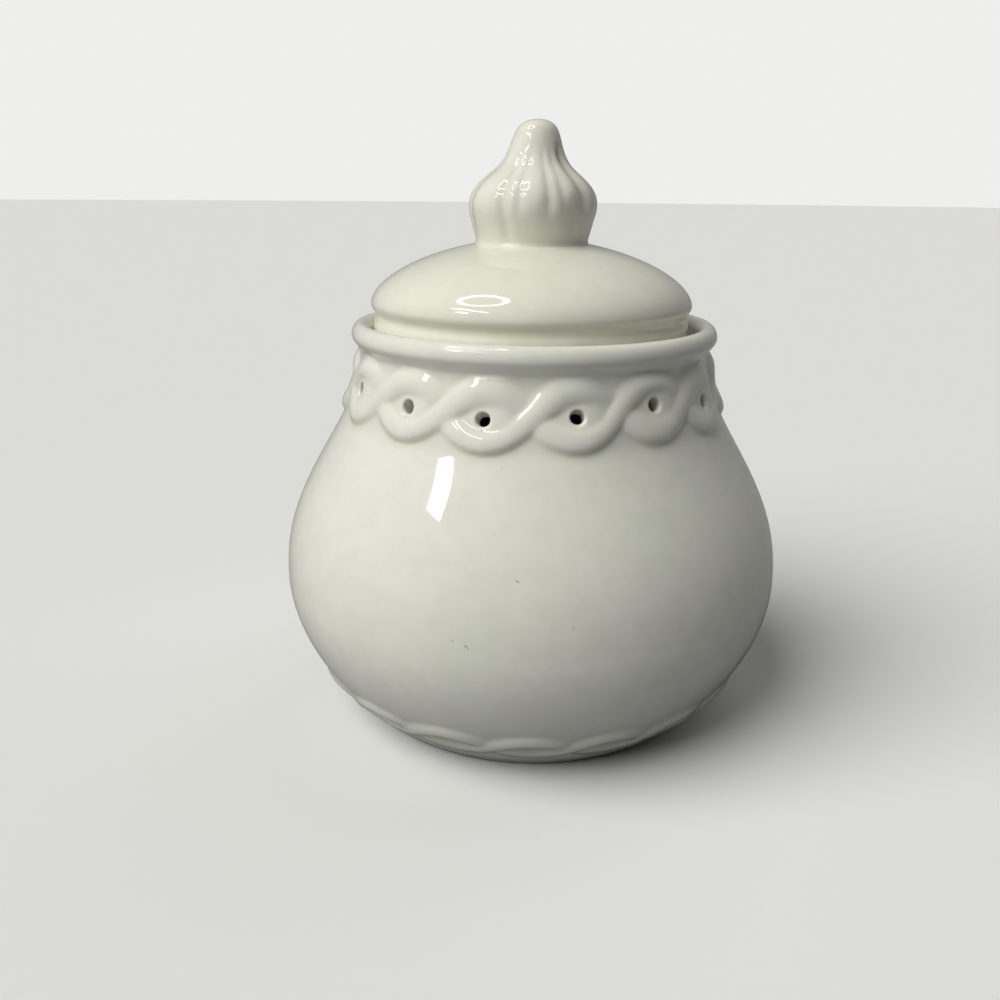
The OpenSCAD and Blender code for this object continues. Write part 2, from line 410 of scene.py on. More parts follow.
def rope_relief(az, z, turns, turn, mid_z, swing, half_w, height, crisp):
    """Height above the wall of a two-strand rope, at azimuth az in degrees and wall height z."""
    arc = 2 * np.pi * float(wall_r(mid_z)) / turns
    slant = wall_slant(mid_z)
    at = (az - turn) / (360 / turns)
    y = (z - mid_z) * slant
    relief = np.zeros_like(at)
    for neighbour in (-1, 0, 1):
        x = (at - np.floor(at) - neighbour) * arc
        strand = strand_relief(x, y, arc, swing * slant, half_w, height, crisp)
        relief = smooth_max(relief, strand, width=0.2)
    return relief


def crease_shade_beside(relief, cells_up, cells_round):
    """How dark the painted shade is at each place of a relief: 0 on flats and tops, 1 in deep creases."""
    return np.clip((blurred(relief, cells_up, cells_round) - relief) / CREASE_SHADE_DEPTH, 0, 1)


def shoulder_relief():
    """Grids of the shoulder rope's height and of the painted shade in the creases beside its strands."""
    az, z = np.meshgrid(FINE_AZ, SHOULDER_ROWS)
    bent_az = az + 0.35 * waves(az, z, seed=21, size=30)
    bent_z = z + 0.22 * waves(az, z, seed=22, size=24)
    relief = rope_relief(
        bent_az, bent_z, VENTS, VENT_TURN, VENT_Z, STRAND_SWING, STRAND_W, STRAND_H, crisp=0.4
    )
    band = BAND_H * np.exp(-(((z - VENT_Z) / BAND_HALF_W) ** 4))
    pitch = 360 / VENTS
    x = np.radians((az - VENT_TURN + pitch / 2) % pitch - pitch / 2) * float(wall_r(VENT_Z))
    away = np.hypot((x - EYE_X) / EYE_HALF_W, (z - VENT_Z - EYE_Y) / EYE_HALF_H)
    filled = (EYE_FILL + EYE_CLIMB * np.clip(x, -6, 6)) * np.exp(-(away**4))
    relief = smooth_max(relief, smooth_max(band, filled, width=0.6), width=0.5)
    soft = blurred(relief, cells_up=0.8, cells_round=0.8)
    return soft, crease_shade_beside(soft, cells_up=3.0, cells_round=3.0)


def foot_relief():
    """Grids of the foot rope's height and of the painted shade in the creases beside its strands."""
    az, z = np.meshgrid(FINE_AZ, FOOT_ROWS)
    bent_az = az + 0.8 * waves(az, z, seed=31, size=34)
    bent_z = z + 0.5 * waves(az, z, seed=32, size=26)
    relief = rope_relief(
        bent_az, bent_z, FOOT_TURNS, FOOT_TURN, FOOT_ROPE_Z, FOOT_SWING, FOOT_STRAND_W, FOOT_STRAND_H,
        crisp=1.0,
    )
    band = FOOT_BAND * (1 - rising(z, *FOOT_BAND_FADE))
    relief = smooth_max(relief * rising(z, *FOOT_TRIM), band, width=0.4)
    soft = blurred(relief, cells_up=1.0, cells_round=1.0)
    return soft, crease_shade_beside(soft, cells_up=4.0, cells_round=3.4)


# ---------------------------------------------------------------- the jar
BELLY_ROWS = np.linspace(FOOT_ROWS[-1], SHOULDER_ROWS[0], 42)[1:-1]
IN_ROWS = VENT_Z + np.arange(-18, 13) * ROW
# a surface closes at the axis with a fan of this radius
FAN_R = 4
# rings of this many cells each way are left out round a vent, and filled by its rim
WINDOW = 7
# the wall leans in at the vents, so their bores, square to it, rise outwards
UPRIGHT = 1 / wall_slant(VENT_Z)
# rounding of a bore's rim, outside and inside the jar: how wide and how deep
OUTER_RIM = (0.75, 0.9)
INNER_RIM = (1.3, 3.2)

# how far each vent strays from its even place, in degrees round the jar and mm up: the six in view as
# photographed
STRAY = np.array([
    (0.8, 0.0), (0.8, 1.5), (0.8, -0.8), (0.3, 0.4), (-0.6, -0.5), (0.4, 0.2), (-0.3, 0.6), (0.5, -0.4),
    (0.0, 0.3), (-0.5, -0.3), (0.4, 0.2), (-0.7, -0.2), (-1.9, 0.7), (-0.1, 0.0), (-0.5, -0.9),
])


class Skin:
    """A wall surface with vents, on an even grid whose rows include the vents' middle.

    It stands off the outer wall by offset, which is 0 for the outer wall itself. A point is asked for by
    its azimuth and height on the even grid.
    """

    def __init__(self, rows, relief, pool, offset):
        self.rows, self.relief, self.pool, self.offset = rows, relief, pool, offset
        self.outer = offset == 0
        self.vent_row = int(np.argmin(np.abs(rows - VENT_Z)))

    def stray(self, az, z):
        """How far the rope strays there, in degrees and mm; nothing at the top and bottom rows."""
        turn = (az - VENT_TURN) * VENTS / 360
        near = np.floor(turn).astype(int)
        left, right = STRAY[near % VENTS], STRAY[(near + 1) % VENTS]
        even = ease(0, 1, turn - near)[..., None]
        flat = WINDOW * ROW
        up = np.clip((self.rows[-1] - z) / (self.rows[-1] - VENT_Z - flat), 0, 1)
        down = np.clip((z - self.rows[0]) / (VENT_Z - flat - self.rows[0]), 0, 1)
        shift = (left + (right - left) * even) * np.minimum(up, down)[..., None]
        return shift[..., 0], shift[..., 1]

    def at(self, az, z, dent=0.0):
        """Azimuth, radius and height of a point on the surface, pushed in by dent."""
        row = (z - self.rows[0]) / ROW
        col = (az - FINE_AZ[0]) / (360 / COLS)
        lift = sample(self.relief, row, col) + self.offset - dent
        if self.outer:
            lift = lift + unevenness(az, z)
        stray_az, stray_z = self.stray(az, z)
        r, height = wall_point(z + stray_z, lift)
        return az + stray_az, r, height

    def edge_row(self, i):
        """Radius and height along a row near the grid's edge, which has no spline and doesn't stray."""
        lift = self.relief[i] + self.offset
        if self.outer:
            lift = lift + unevenness(FINE_AZ, self.rows[i])
        return wall_point(self.rows[i], lift)

    def on_circle(self, az0, angle, radius, dent):
        """Places on the even grid of a circle of that radius about a vent's axis."""
        stray_az, stray_z = self.stray(np.array(az0), np.array(VENT_Z))
        height0 = float(wall_point(VENT_Z + stray_z, self.offset)[1])
        az, z = az0 + 0 * angle, VENT_Z + 0 * angle
        for _ in range(8):
            got_az, r, height = self.at(az, z, dent)
            want_az = az0 + stray_az + np.degrees(np.arcsin(radius * np.cos(angle) / r))
            want_height = height0 + radius * np.sin(angle) * UPRIGHT
            az, z = az + want_az - got_az, z + want_height - height
        return az, z


def window_columns():
    """The columns that pass through the vents' windows."""
    return {(VENT_COLS * vent + k) % COLS for vent in range(VENTS) for k in range(-WINDOW, WINDOW)}


def wall_with_vents(shell, skin):
    """The fine rings of a wall, with a window left round each vent."""
    rings = []
    for i, z in enumerate(skin.rows):
        # the spline needs a row below and two above
        if 1 <= i <= len(skin.rows) - 3:
            az, r, height = skin.at(FINE_AZ, np.full(COLS, z))
        else:
            az = FINE_AZ
            r, height = skin.edge_row(i)
        # each ring carries the painted shade of the rope's creases
        rings.append(shell.add(r, az, height, pool=skin.pool[i]))
    in_windows = window_columns()
    for i in range(len(rings) - 1):
        low, high = (rings[i], rings[i + 1]) if skin.outer else (rings[i + 1], rings[i])
        left_out = in_windows if -WINDOW <= i - skin.vent_row < WINDOW else ()
        for j in range(COLS):
            if j not in left_out:
                k = (j + 1) % COLS
                shell.faces.append((low[j], low[k], high[k], high[j]))
    return rings


def window_edge(rings, row0, col0):
    """Indices and grid places round a square window, anticlockwise seen from outside the jar."""
    side = np.arange(-WINDOW, WINDOW)
    ones = np.full(2 * WINDOW, WINDOW)
    rows = np.concatenate([-ones, side, ones, -side])
    cols = np.concatenate([side, ones, -side, -ones])
    picked = [rings[row0 + row][(col0 + col) % COLS] for row, col in zip(rows, cols)]
    return np.array(picked), rows, cols


def vent_rim(shell, skin, rings, vent, rim):
    """Fills a vent's window with rings that close in to its bore, and returns the last of them."""
    rim_w, rim_t = rim
    az0 = VENT_TURN + vent * 360 / VENTS
    last, rows, cols = window_edge(rings, skin.vent_row, VENT_COLS * vent)
    angle = np.arctan2(rows * ROW, cols * np.radians(360 / COLS) * float(wall_r(VENT_Z)))
    edge_az = az0 + cols * 360 / COLS
    edge_z = skin.rows[skin.vent_row] + rows * ROW

    def add_ring(az, z, dent, pool):
        nonlocal last
        az, r, height = skin.at(az, z, dent)
        ring = shell.add(r, az, height, pool=pool)
        low, high = (last, ring) if skin.outer else (ring, last)
        shell.join(low, high)
        last = ring

    ring_az, ring_z = skin.on_circle(az0, angle, VENT_R + rim_w, 0.0)
    for t in (0.5, 1.0):
        add_ring(edge_az + (ring_az - edge_az) * t, edge_z + (ring_z - edge_z) * t, 0.0, 0.0)
    for t in (0.25, 0.45, 0.65, 0.8, 0.92, 1.0):
        dent = rim_t * (1 - math.sqrt(1 - t * t))
        if not skin.outer:
            dent = -dent
        ring_az, ring_z = skin.on_circle(az0, angle, VENT_R + rim_w - rim_w * t, dent)
        # painted shade, darker towards the bore
        add_ring(ring_az, ring_z, dent, 0.25 * t)
    return last


def add_low_wall(shell):
    """Rings from the middle of the underside out, round the foot ring, and up to the top of the belly."""
    ring_in = FOOT_R - FOOT_RING_W
    under = rounded([
        (FAN_R, FOOT_HOLLOW, 0),
        (ring_in - 1.2, FOOT_HOLLOW, 1),
        (ring_in + 0.2, 0, 0.7),
        (FOOT_R + 0.2, 0, 0.8),
        (*wall_point(FOOT_ROWS[0], FOOT_BAND), 0),
    ], step=1.5)
    rings = []
    for r, z in under[:-1]:
        # no glaze where the ring touches the table
        bare = 1.0 if z < 0.35 and r > ring_in - 1 else 0.0
        rings.append(shell.add(r, COARSE_AZ, z, bare=bare))
    shell.cap(rings[0], FOOT_HOLLOW, up=False)
    relief, pool = foot_relief()
    for i, z in enumerate(FOOT_ROWS):
        r, height = wall_point(z, relief[i] + unevenness(FINE_AZ, z))
        # each ring carries the painted shade of the foot rope's creases
        rings.append(shell.add(r, FINE_AZ, height, pool=pool[i]))
    for z in BELLY_ROWS:
        r, height = wall_point(z, unevenness(COARSE_AZ, z))
        rings.append(shell.add(r, COARSE_AZ, height))
    return rings


def add_lip_and_seat(shell):
    """Rings up the neck, over the rolled lip, and down past the seat and the ledge to the inner wall."""
    t = np.linspace(0, 1, 9)[1:]
    neck = np.stack([ease(NECK_R, LIP_R, t), NECK_Z + (LIP_Z - NECK_Z) * t], 1)
    a = np.radians(np.arange(10, 161, 10))
    lip_mid = LIP_R - LIP_W / 2
    lip = np.stack([lip_mid + LIP_W / 2 * np.cos(a), LIP_Z + LIP_CROWN * np.sin(a)], 1)
    inside = rounded([
        (*lip[-1], 0),
        (MOUTH_R, LIP_Z, 1),
        (MOUTH_R, SEAT_Z, 0.8),
        (SEAT_R, SEAT_Z, 0.7),
        (SEAT_R, LEDGE_Z, 0.9),
        (*wall_point(LEDGE_Z - SEAT_W, -WALL), 0),
    ])[1:-1]
    rings = []
    for r, z in np.concatenate([neck, lip, inside]):
        sway = 0.07 * waves(COARSE_AZ, z, seed=41, size=60)
        rings.append(shell.add(r + sway, COARSE_AZ, z + sway))
    return rings


def add_inside(shell):
    """Rings down the inner wall from below the vents, round the floor's corner and in over the floor."""
    corner_z = FLOOR_T + WALL
    rings = []
    for z in np.linspace(IN_ROWS[0], corner_z, 40)[1:]:
        r, height = wall_point(z, -WALL)
        rings.append(shell.add(r, COARSE_AZ, height))
    r, height = wall_point(corner_z, -WALL)
    floor = rounded([(r, height, 0), (r - 5, FLOOR_T, 4), (20, FLOOR_T, 0), (FAN_R, FLOOR_T, 0)], step=3)
    for r, z in floor[1:]:
        rings.append(shell.add(r, COARSE_AZ, z))
    return rings


def build_jar():
    """The jar with both ropes, as one skin of glaze: outside, lip, inside and the vents' bores."""
    shell = Shell()
    relief, pool = shoulder_relief()
    outer_skin = Skin(SHOULDER_ROWS, relief, pool, 0)
    plain = np.zeros((len(IN_ROWS), COLS))
    inner_skin = Skin(IN_ROWS, plain, plain, -WALL)

    low = add_low_wall(shell)
    outer = wall_with_vents(shell, outer_skin)
    shell.rows(low)
    shell.join(low[-1], outer[0])
    lip = add_lip_and_seat(shell)
    shell.join(outer[-1], lip[0])
    shell.rows(lip)
    inner = wall_with_vents(shell, inner_skin)
    shell.join(lip[-1], inner[-1])
    deep = add_inside(shell)
    shell.join(inner[0], deep[0])
    shell.rows(deep)
    shell.cap(deep[-1], FLOOR_T, up=True)
    for vent in range(VENTS):
        mouth = vent_rim(shell, outer_skin, outer, vent, OUTER_RIM)
        back = vent_rim(shell, inner_skin, inner, vent, INNER_RIM)
        shell.join(mouth, back)
    return shell.object("jar_glaze")


# ---------------------------------------------------------------- the lid
LID_AZ = np.arange(360.0)
# the groove is a soft hollow: its deepest place lies lower and a little further out than the CAD groove's
SOFT_GROOVE_Z = GROOVE_Z - 1.0
SOFT_GROOVE_R = GROOVE_R + 0.15


def dome_line(angles, span, base_z, rise):
    """Outline of a dome of radius span at base_z, at angles in degrees from its edge, 0, to its top, 90."""
    a = np.radians(angles)
    power = 2 / DOME_POWER
    return np.stack([span * np.cos(a) ** power, base_z + rise * np.sin(a) ** power], 1)


def build_lid():
    """The lid: its rim, groove and dome outside, and the hollow under the dome."""
    shell = Shell()
    t = np.linspace(0, 1, 11)[1:]
    fade_z = RIM_TOP_Z - 1
    rim = rounded([
        (RIM_IN_R, SEAT_Z + 3, 0),
        (RIM_IN_R, SEAT_Z, 0.8),
        (RIM_R, SEAT_Z, 1.0),
        (RIM_R, fade_z, 0),
    ])
    groove = np.stack([ease(RIM_R, SOFT_GROOVE_R, t), fade_z + (SOFT_GROOVE_Z - fade_z) * t], 1)
    edge = np.stack([ease(SOFT_GROOVE_R, EDGE_R, t), SOFT_GROOVE_Z + (EDGE_Z - SOFT_GROOVE_Z) * t], 1)
    dome = dome_line(np.arange(1.5, 90, 1.5), EDGE_R, EDGE_Z, DOME_H)
    rings = []
    for r, z in np.concatenate([rim, groove, edge, dome]):
        swell = 0.08 * waves(LID_AZ, z, seed=51, size=40) * min(1, r / 30)
        rings.append(shell.add(r + swell, LID_AZ, z))
    shell.rows(rings)
    shell.cap(rings[-1], EDGE_Z + DOME_H, up=True)

    rise = DOME_H + EDGE_Z - RIM_TOP_Z - DOME_T
    hollow = dome_line(np.arange(88, -1, -3), RIM_IN_R, RIM_TOP_Z, rise)
    under = [shell.add(r, LID_AZ, z) for r, z in hollow]
    shell.cap(under[0], RIM_TOP_Z + rise, up=False)
    shell.rows(under)
    shell.join(under[-1], rings[0])
    return shell.object("lid_glaze", shift=(LID_X, 0, 0))


# ---------------------------------------------------------------- the garlic knob
KNOB_AZ = np.arange(480) * 360 / 480

# the knob's outline, read off the photograph: radius and height above its base
KNOB_OUTLINE = [
    (KNOB_BASE_R - 0.4, 0), (16.3, 2.7), (17.4, 5.6), (18.2, 8.1), (BULB_R, 10.5), (18.1, 13.0),
    (16.9, 15.1), (15.2, 16.9), (13.3, 18.5), (11.2, 20.1), (9.6, 21.7), (8.5, 23.2), (7.6, 25.1),
    (6.9, 27.3), (6.2, 29.5), (5.4, 31.1), (4.1, 32.4), (2.2, 33.2), (0, KNOB_H + 0.2),
]

# where one clove ends and the next begins, in degrees
CLOVE_EDGES = np.array([-75, -26, -13, 15, 26, 52, 80, 104, 126, 148, 171, 193, 216, 239, 265])

# grooves between the cloves: azimuth, depth, half width in degrees, and the heights that each runs between
GROOVES = [
    (-26, 0.5, 6, -2, 22), (-13, 0.3, 5, 6, 21), (15, 0.5, 6, 6, 22), (26, 0.4, 5, 9, 20),
    (38, 0.4, 12, 2, 15), (52, 1.2, 8, 7, 28), (80, 0.6, 10, 2, 24), (104, 0.8, 10, 1, 25),
    (126, 0.5, 8, 4, 22), (148, 0.9, 10, 1, 26), (171, 0.5, 8, 3, 21), (193, 0.8, 10, 1, 25),
    (216, 0.6, 8, 2, 22), (239, 0.9, 10, 1, 25), (265, 0.5, 9, 3, 22), (285, 0.6, 8, 1, 20),
]

# heights between which the cloves' swelling begins and ends
BULB_RISE = (4, 12)
BULB_FADE = (20, 27)
# the most by which the knob falls short of its outline between two cloves
MOST_FALL = 0.45
# the seam spreads onto the lid: how far it stands out at the base, and the height over which it dies away
FLARE = 0.7
FLARE_H = 0.7
# the knob's relief fades out where its outline is thinner than this, at the tip, which a fan closes
TIP_R = 5
KNOB_FAN_R = 0.3
# the knob's skirt, sunk into the lid: how far it stands out past the base, and how deep
SKIRT_OUT = 1.5
SKIRT_Z = -0.75


def groove_depth(az, z):
    """Depth of the grooves at each azimuth of the ring at height z above the knob's base."""
    depth = np.zeros_like(az)
    for place, deep, half, low, high in GROOVES:
        away = (az - place + 180) % 360 - 180
        grown = rising(z, low, low + 6) * (1 - rising(z, high - 5, high))
        depth = depth + deep * grown * np.exp(-((away / half) ** 2))
    return depth


def clove_fall(az):
    """How far the knob falls short of its outline away from the middles of its cloves, in mm."""
    turned = (az - CLOVE_EDGES[0]) % 360
    edges = np.append(CLOVE_EDGES - CLOVE_EDGES[0], 360)
    clove = np.searchsorted(edges, turned, side="right") - 1
    gap = edges[clove + 1] - edges[clove]
    across = (turned - edges[clove]) / gap
    fall = np.minimum(MOST_FALL, 0.0005 * gap**2) * (1 - 4 * across * (1 - across))
    # softened round the ring, and not up and down
    return blurred(fall[None, :], cells_up=0.01, cells_round=3)[0]


def knob_ring(shell, r, z):
    """The ring of the knob whose outline has radius r at height z, with its grooves and its lean."""
    tip = min(1, r / TIP_R)
    # the grooves wind a little as they climb
    bent = KNOB_AZ + 2 * math.sin(z / 9)
    bulb = rising(z, *BULB_RISE) * (1 - rising(z, *BULB_FADE))
    depth = groove_depth(bent, z) * tip + clove_fall(bent) * bulb
    flare = FLARE * math.exp(-z / FLARE_H)
    ripple = 0.06 * waves(KNOB_AZ, z, seed=61, size=30) * min(1, z / 4) * tip
    ring_r = r + 0.15 * tip - depth + flare + ripple
    a = np.radians(KNOB_AZ)
    x = ring_r * np.sin(a) + STEM_LEAN * (z / KNOB_H) ** 2
    y = -ring_r * np.cos(a)
    # painted shade in the grooves between the cloves and at the seam on the lid
    pool = np.clip(depth * 0.6 + math.exp(-z / 1.2) * 0.5, 0, 1)
    return shell.add(np.hypot(x, y), np.degrees(np.arctan2(x, -y)), z, pool=pool)


def build_knob():
    """The garlic bulb with its stem, from the seam on the lid to the tip."""
    shell = Shell()
    # the outline runs on down the other side, so that it stays round over the tip
    both_sides = KNOB_OUTLINE + [(-r, z) for r, z in KNOB_OUTLINE[-2::-1]]
    outline = [(r, z) for r, z in smooth_line(both_sides, pieces=6, passes=36) if r > KNOB_FAN_R]
    rings = [knob_ring(shell, r, z) for r, z in outline]
    skirt = shell.add(KNOB_BASE_R + SKIRT_OUT, KNOB_AZ, SKIRT_Z)
    shell.join(skirt, rings[0])
    shell.rows(rings)
    top = shell.add(np.array([STEM_LEAN]), 90, outline[-1][1] + 0.01)[0]
    shell.fan(rings[-1], top, up=True)
    shell.cap(skirt, SKIRT_Z, up=False)
    return shell.object("garlic_knob_glaze", shift=(LID_X, 0, KNOB_Z))


# ---------------------------------------------------------------- glaze
def srgb(red, green, blue):
    """A linear colour from its 0 to 255 screen values."""
    def linear(v):
        v /= 255
        return v / 12.92 if v <= 0.04045 else ((v + 0.055) / 1.055) ** 2.4
    return (linear(red), linear(green), linear(blue), 1)


PINHOLE_BROWN = srgb(140, 132, 112)
RUB_GREY = srgb(96, 96, 92)
BARE_CLAY = srgb(226, 218, 200)

# small grey rub marks on the jar's front: middle, direction, half length and half width, in mm
SCUFFS = [
    ((-4.9, -70.9, 63.3), (0.72, 0, -0.69), 1.9, 0.32),
    ((-21.0, -71.8, 47.8), (0.85, 0, -0.5), 1.1, 0.3),
    ((-17.5, -72.8, 46.7), (0.75, 0, -0.65), 1.1, 0.35),
    ((8.8, -73.7, 52.3), (0.3, 0, -0.95), 0.45, 0.3),
]


class Nodes:
    """Short names for the few shader nodes that the glaze needs."""

    def __init__(self, name):
        self.material = bpy.data.materials.new(name)
        self.material.use_nodes = True
        self.tree = self.material.node_tree
        self.shader = self.tree.nodes["Principled BSDF"]
        self.place = self.tree.nodes.new("ShaderNodeTexCoord").outputs["Object"]

    def link(self, source, target):
        """Joins an output socket to an input socket."""
        self.tree.links.new(source, target)

    def noise(self, scale, detail, roughness=0.5):
        """Noise of that many bumps in a metre."""
        node = self.tree.nodes.new("ShaderNodeTexNoise")
        node.inputs["Scale"].default_value = scale
        node.inputs["Detail"].default_value = detail
        node.inputs["Roughness"].default_value = roughness
        self.link(self.place, node.inputs["Vector"])
        return node.outputs["Fac"]

    def spots(self, scale, low, high):
        """1 in small scattered spots, 0 between them."""
        node = self.tree.nodes.new("ShaderNodeTexVoronoi")
        node.inputs["Scale"].default_value = scale
        self.link(self.place, node.inputs["Vector"])
        return self.ramp(node.outputs["Distance"], low, high, 1, 0)

    def ramp(self, value, low, high, start=0.0, end=1.0):
        """A smooth step from start to end as value goes from low to high."""
        node = self.tree.nodes.new("ShaderNodeMapRange")
        node.interpolation_type = "SMOOTHSTEP"
        node.inputs["From Min"].default_value = low
        node.inputs["From Max"].default_value = high
        node.inputs["To Min"].default_value = start
        node.inputs["To Max"].default_value = end
        self.link(value, node.inputs["Value"])
        return node.outputs["Result"]

    def math(self, operation, a, b):
        """a and b, each a socket or a number, put through a maths node."""
        node = self.tree.nodes.new("ShaderNodeMath")
        node.operation = operation
        for socket, value in zip(node.inputs, (a, b)):
            if isinstance(value, (int, float)):
                socket.default_value = value
            else:
                self.link(value, socket)
        return node.outputs["Value"]

    def mix(self, factor, a, b):
        """Colour a where factor is 0 and b where it is 1; each is a socket or a colour."""
        node = self.tree.nodes.new("ShaderNodeMix")
        node.data_type = "RGBA"
        self.link(factor, node.inputs["Factor"])
        for socket, value in ((node.inputs[6], a), (node.inputs[7], b)):
            if isinstance(value, tuple):
                socket.default_value = value
            else:
                self.link(value, socket)
        return node.outputs[2]

    def attribute(self, name):
        """The value that the mesh holds under that name."""
        node = self.tree.nodes.new("ShaderNodeAttribute")
        node.attribute_name = name
        return node.outputs["Fac"]

    def vector(self, operation, a, b=None):
        """The vector socket a, with the fixed vector b where there is one, put through a maths node."""
        node = self.tree.nodes.new("ShaderNodeVectorMath")
        node.operation = operation
        self.link(a, node.inputs[0])
        if b is not None:
            node.inputs[1].default_value = b
        return node.outputs["Value" if operation in ("DOT_PRODUCT", "LENGTH") else "Vector"]

    def stroke(self, middle, along, half, thin):
        """1 on a short straight stroke given in mm, 0 off it."""
        offset = self.vector("SUBTRACT", self.place, [v * MM for v in middle])
        run = self.math("ABSOLUTE", self.vector("DOT_PRODUCT", offset, along), 0)
        beside = self.vector("LENGTH", self.vector("CROSS_PRODUCT", offset, along))
        ends = self.ramp(run, half * MM, 0.5 * half * MM)
        return self.math("MULTIPLY", ends, self.ramp(beside, thin * MM, 0.2 * thin * MM))


def pinholes(n):
    """1 in the glaze's few pinholes, 0 between them."""
    rare = n.ramp(n.noise(75, 0), 0.66, 0.72)
    return n.math("MULTIPLY", n.spots(330, 0.02, 0.09), rare)


def rub_marks(n, scuffs):
    """1 on the frayed strokes of the rub marks, 0 off them."""
    marks = 0
    for scuff in scuffs:
        frayed = n.math("MULTIPLY", n.stroke(*scuff), n.ramp(n.noise(1800, 2), 0.35, 0.55))
        marks = n.math("MAXIMUM", marks, frayed)
    return marks


def glaze_bump(n, specks):
    """The glaze's slow swell, its faint orange peel and its pinholes, as a bumped normal."""
    swell = n.math("MULTIPLY", n.noise(70, 1), 0.6)
    orange_peel = n.math("MULTIPLY", n.noise(700, 2), 0.02)
    pits = n.math("MULTIPLY", specks, -0.6)
    bump = n.tree.nodes.new("ShaderNodeBump")
    bump.inputs["Strength"].default_value = 0.5
    bump.inputs["Distance"].default_value = 0.12 * MM
    n.link(n.math("ADD", n.math("ADD", swell, orange_peel), pits), bump.inputs["Height"])
    return bump.outputs["Normal"]


def glaze(name, tint, warm, mottle_and_crease_shade, scuffs=()):
    """A glossy glaze: uneven in tint, with painted shade darker and greener in its creases, and with
    pinholes and rub marks.
    """
    n = Nodes(name)
    specks = pinholes(n)
    bare = n.attribute("bare")
    cloud = n.ramp(n.noise(22, 3), 0.35, 0.68)
    mottle = n.ramp(n.noise(160, 3, 0.6), 0.3, 0.75, 0.0, 0.22)
    colour = n.mix(cloud, tint, warm)
    # the glaze's own mottling, in random patches of that darker, greener tone
    colour = n.mix(mottle, colour, mottle_and_crease_shade)
    # painted shade: darker and greener in the creases of the ropes, the knob's grooves and seam, and the
    # vents' rims
    colour = n.mix(n.math("MULTIPLY", n.attribute("pool"), 0.75), colour, mottle_and_crease_shade)
    colour = n.mix(n.math("MULTIPLY", specks, 0.45), colour, PINHOLE_BROWN)
    rough = n.ramp(n.noise(45, 2), 0.3, 0.7, 0.03, 0.07)
    rough = n.math("ADD", rough, n.math("MULTIPLY", bare, 0.6))
    if scuffs:
        rubbed = rub_marks(n, scuffs)
        colour = n.mix(n.math("MULTIPLY", rubbed, 0.7), colour, RUB_GREY)
        rough = n.math("ADD", rough, n.math("MULTIPLY", rubbed, 0.35))
    colour = n.mix(bare, colour, BARE_CLAY)
    n.link(colour, n.shader.inputs["Base Color"])
    n.link(rough, n.shader.inputs["Roughness"])
    n.link(glaze_bump(n, specks), n.shader.inputs["Normal"])
    n.shader.inputs["IOR"].default_value = 1.52
    n.shader.inputs["Coat Weight"].default_value = 0.25
    n.shader.inputs["Coat Roughness"].default_value = 0.03
    return n.material


# ---------------------------------------------------------------- floor and room, in metres
FLOOR_RADIUS = 12
# the floor lies a hair under the foot, so that the two don't share a plane
FLOOR_Z = -0.0001


def circle(radius, n):
    """The corners of a circle of n sides about the origin."""
    turns = [2 * math.pi * i / n for i in range(n)]
    return [(radius * math.cos(a), radius * math.sin(a)) for a in turns]


def stage_surface(name, shown, in_gloss, bounced):
    """A matte surface: pale to the camera, dimmer in gloss, and throwing back less light on the object."""
    material = bpy.data.materials.new(name)
    material.use_nodes = True
    tree = material.node_tree
    tree.nodes.clear()
    path = tree.nodes.new("ShaderNodeLightPath")
    diffuse = tree.nodes.new("ShaderNodeBsdfDiffuse")
    last = None
    for ray, colour in (("Is Glossy Ray", in_gloss), ("Is Camera Ray", shown)):
        mix = tree.nodes.new("ShaderNodeMix")
        mix.data_type = "RGBA"
        mix.inputs[6].default_value = bounced
        mix.inputs[7].default_value = colour
        tree.links.new(path.outputs[ray], mix.inputs["Factor"])
        if last is not None:
            tree.links.new(last, mix.inputs[6])
        last = mix.outputs[2]
    tree.links.new(last, diffuse.inputs["Color"])
    out = tree.nodes.new("ShaderNodeOutputMaterial")
    tree.links.new(diffuse.outputs[0], out.inputs["Surface"])
    return material


def build_floor():
    """A wide pale round floor."""
    mesh = bpy.data.meshes.new("floor")
    ring = [(x, y, 0) for x, y in circle(FLOOR_RADIUS, 96)]
    mesh.from_pydata(ring, [], [tuple(range(len(ring)))])
    floor = add_object("floor", mesh)
    floor.location.z = FLOOR_Z
    floor.data.materials.append(stage_surface(
        "pale_floor",
        shown=(0.84, 0.84, 0.83, 1),
        in_gloss=(0.33, 0.33, 0.32, 1),
        bounced=(0.28, 0.28, 0.31, 1),
    ))


def build_world(shown, in_gloss, ambient):
    """The room: pale to the camera, dimmer in gloss, and a faint even light on everything."""
    world = bpy.data.worlds.new("studio")
    bpy.context.scene.world = world
    world.use_nodes = True
    tree = world.node_tree
    tree.nodes.clear()
    path = tree.nodes.new("ShaderNodeLightPath")
    last = None
    for ray, level in ((None, ambient), ("Is Glossy Ray", in_gloss), ("Is Camera Ray", shown)):
        light = tree.nodes.new("ShaderNodeBackground")
        light.inputs["Color"].default_value = (level, level, level * 0.99, 1)
        if ray is None:
            last = light
            continue
        mix = tree.nodes.new("ShaderNodeMixShader")
        tree.links.new(path.outputs[ray], mix.inputs[0])
        tree.links.new(last.outputs[0], mix.inputs[1])
        tree.links.new(light.outputs[0], mix.inputs[2])
        last = mix
    out = tree.nodes.new("ShaderNodeOutputWorld")
    tree.links.new(last.outputs[0], out.inputs["Surface"])


# ---------------------------------------------------------------- lamps, in metres, and camera, in mm
# the point that the glowing lamps face
AIM = Vector((0, 0, 0.1))

